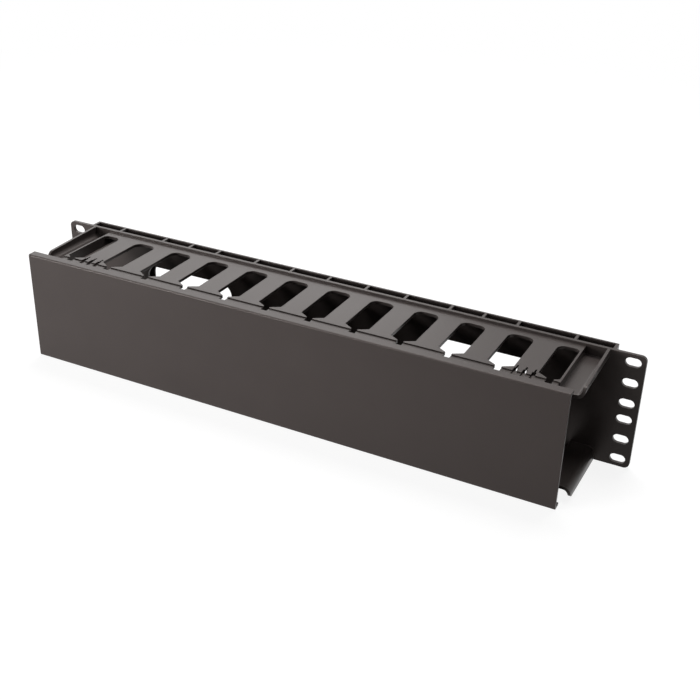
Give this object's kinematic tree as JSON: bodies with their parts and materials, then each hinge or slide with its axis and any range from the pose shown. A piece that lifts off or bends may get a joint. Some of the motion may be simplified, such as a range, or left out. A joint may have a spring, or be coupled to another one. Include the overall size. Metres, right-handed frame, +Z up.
{
  "type": "horizontal cable manager",
  "caption": "Rack-mounted finger duct that carries cables across a rack, with rack ears and a front cover that swings up on moulded hinge bars.",
  "frame": {"origin": "centre of the rack hole pattern, on the rear face of the ears, which seats on the rack rails", "axes": "+X along the duct, to the right seen from the front; +Y into the rack; +Z up"},
  "size_m": [0.4826, 0.0828, 0.0882],
  "materials": {
    "duct_plastic": "fine matte texture, moulded black",
    "cover_plastic": "fine matte texture, moulded black"
  },
  "bodies": {
    "duct": {"duct_base": "duct_plastic"},
    "cover": {"cover": "cover_plastic"}
  },
  "joints": [
    {"name": "cover_hinge", "type": "hinge", "parent": "duct", "child": "cover", "pos_m": [0, -0.0592, 0.0374], "axis": [-1, 0, 0], "range_deg": [0, 110]}
  ]
}
